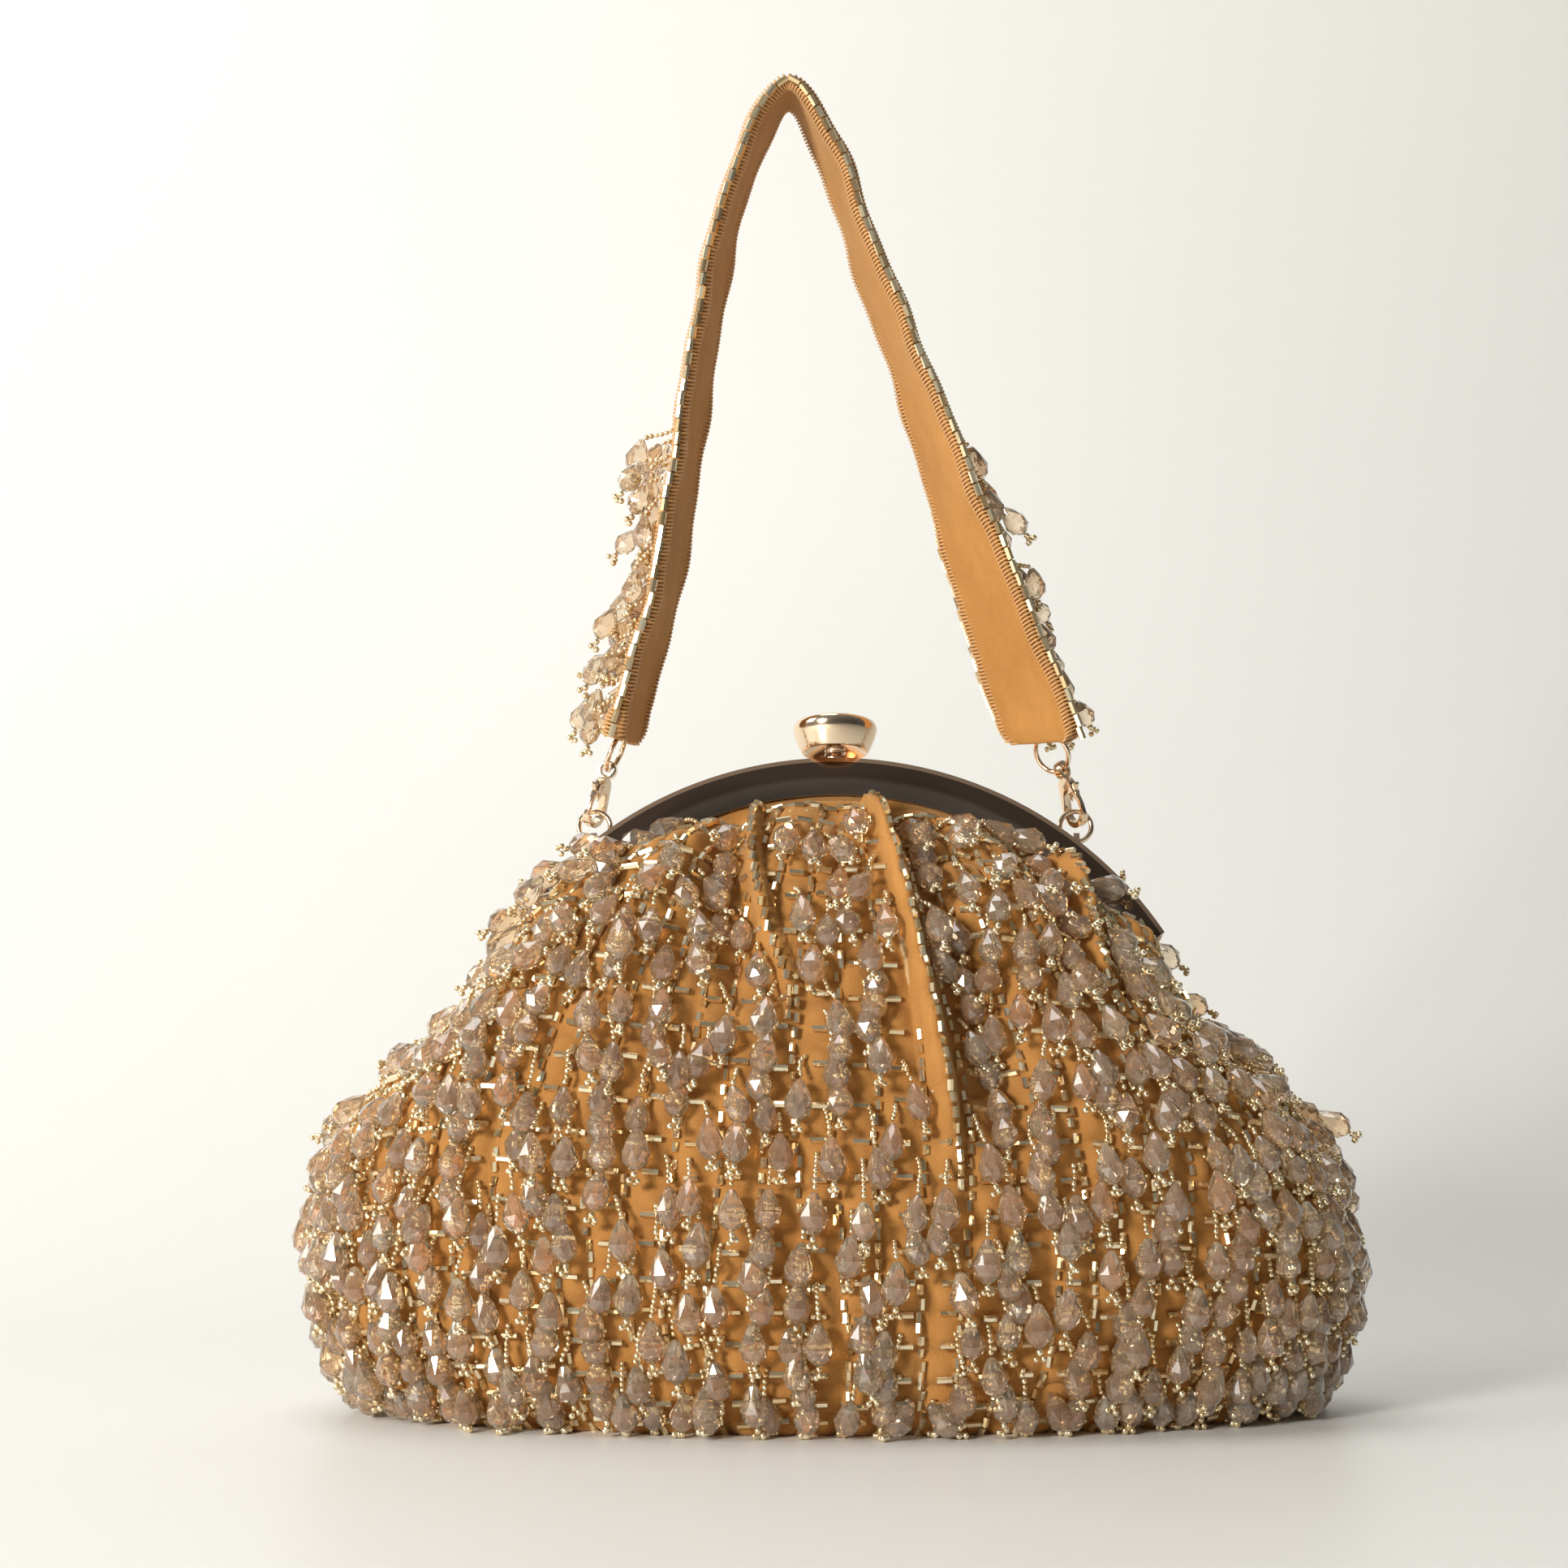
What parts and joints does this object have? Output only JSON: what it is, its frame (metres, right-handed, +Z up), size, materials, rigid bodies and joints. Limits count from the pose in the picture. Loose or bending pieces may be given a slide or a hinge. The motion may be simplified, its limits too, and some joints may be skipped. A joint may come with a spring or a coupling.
{
  "type": "evening bag",
  "caption": "Beaded velvet evening bag with an arched, hinged frame, a press-knob clasp and a beaded ribbon strap on two lobster claws.",
  "frame": {"origin": "centre of the bag's footprint on the table", "axes": "+Z up, +X to the right seen from the front, the front faces -Y"},
  "size_m": [0.2354, 0.0976, 0.3113],
  "materials": {
    "velvet": "amber velvet with a short pile",
    "lining": "plain satin lining",
    "board": "grey board",
    "beads": "silver-lined pale gold glass",
    "crystal": "champagne faceted glass",
    "frame_metal": "polished rose-gold plate",
    "gold_metal": "polished pale gold plate"
  },
  "bodies": {
    "pouch": {"velvet_front": "velvet", "velvet_back": "velvet", "velvet_base": "velvet", "base_board": "board", "lining_front": "lining", "lining_back": "lining", "lining_base": "lining", "lining_pocket": "lining", "beadwork_front": "beads", "beadwork_back": "beads", "hinge_rivet_left": "gold_metal", "hinge_rivet_right": "gold_metal"},
    "front_half": {"front_frame": "frame_metal", "clasp_bush": "gold_metal", "clasp_spring": "gold_metal"},
    "back_half": {"back_frame": "frame_metal", "catch_spring": "gold_metal", "frame_ring_left": "gold_metal", "frame_ring_right": "gold_metal"},
    "knob": {"clasp_knob": "gold_metal", "clasp_stem": "gold_metal"},
    "handle": {"claw_left": "gold_metal", "claw_right": "gold_metal", "trigger_pin_left": "gold_metal", "trigger_pin_right": "gold_metal", "trigger_spring_left": "gold_metal", "trigger_spring_right": "gold_metal", "strap_ring_left": "gold_metal", "strap_ring_right": "gold_metal", "strap_outer": "velvet", "strap_lining": "velvet", "strap_bugles_front": "beads", "strap_bugles_back": "beads", "strap_drops_left": "crystal", "strap_drops_right": "crystal"},
    "left_gate": {"trigger_left": "gold_metal"},
    "right_gate": {"trigger_right": "gold_metal"}
  },
  "joints": [
    {"name": "front_frame_hinge", "type": "hinge", "parent": "pouch", "child": "front_half", "pos_m": [0, 0, 0.1025], "axis": [1, 0, 0], "range_deg": [0, 35], "deforming": ["velvet_front", "lining_front", "beadwork_front", "catch_spring"]},
    {"name": "back_frame_hinge", "type": "hinge", "parent": "pouch", "child": "back_half", "pos_m": [0, 0, 0.1025], "axis": [1, 0, 0], "range_deg": [-35, 0], "deforming": ["velvet_back", "lining_back", "beadwork_back"]},
    {"name": "clasp_knob_press", "type": "slide", "parent": "front_half", "child": "knob", "axis": [0, -0.2079, -0.9781], "range_m": [0, 0.0012], "stiffness_N_per_m": 400, "springref_m": -0.002, "deforming": ["clasp_spring"]},
    {"name": "handle_swing", "type": "hinge", "parent": "back_half", "child": "handle", "pos_m": [0, 0.01015, 0.13773], "axis": [1, 0, 0], "range_deg": [-90, 72]},
    {"name": "left_claw_gate", "type": "hinge", "parent": "handle", "child": "left_gate", "pos_m": [-0.05579, 0.00836, 0.14316], "axis": [0.8521, -0.454, -0.2605], "range_deg": [0, 14], "stiffness_Nm_per_rad": 0.01, "springref_deg": -17.19, "deforming": ["trigger_spring_left"]},
    {"name": "right_claw_gate", "type": "hinge", "parent": "handle", "child": "right_gate", "pos_m": [0.05582, 0.00838, 0.14316], "axis": [0.8444, 0.4695, 0.2581], "range_deg": [0, 14], "stiffness_Nm_per_rad": 0.01, "springref_deg": -17.19, "deforming": ["trigger_spring_right"]}
  ],
  "couplings": [
    {"joint": "back_frame_hinge", "follows": "front_frame_hinge", "ratio": -1}
  ]
}
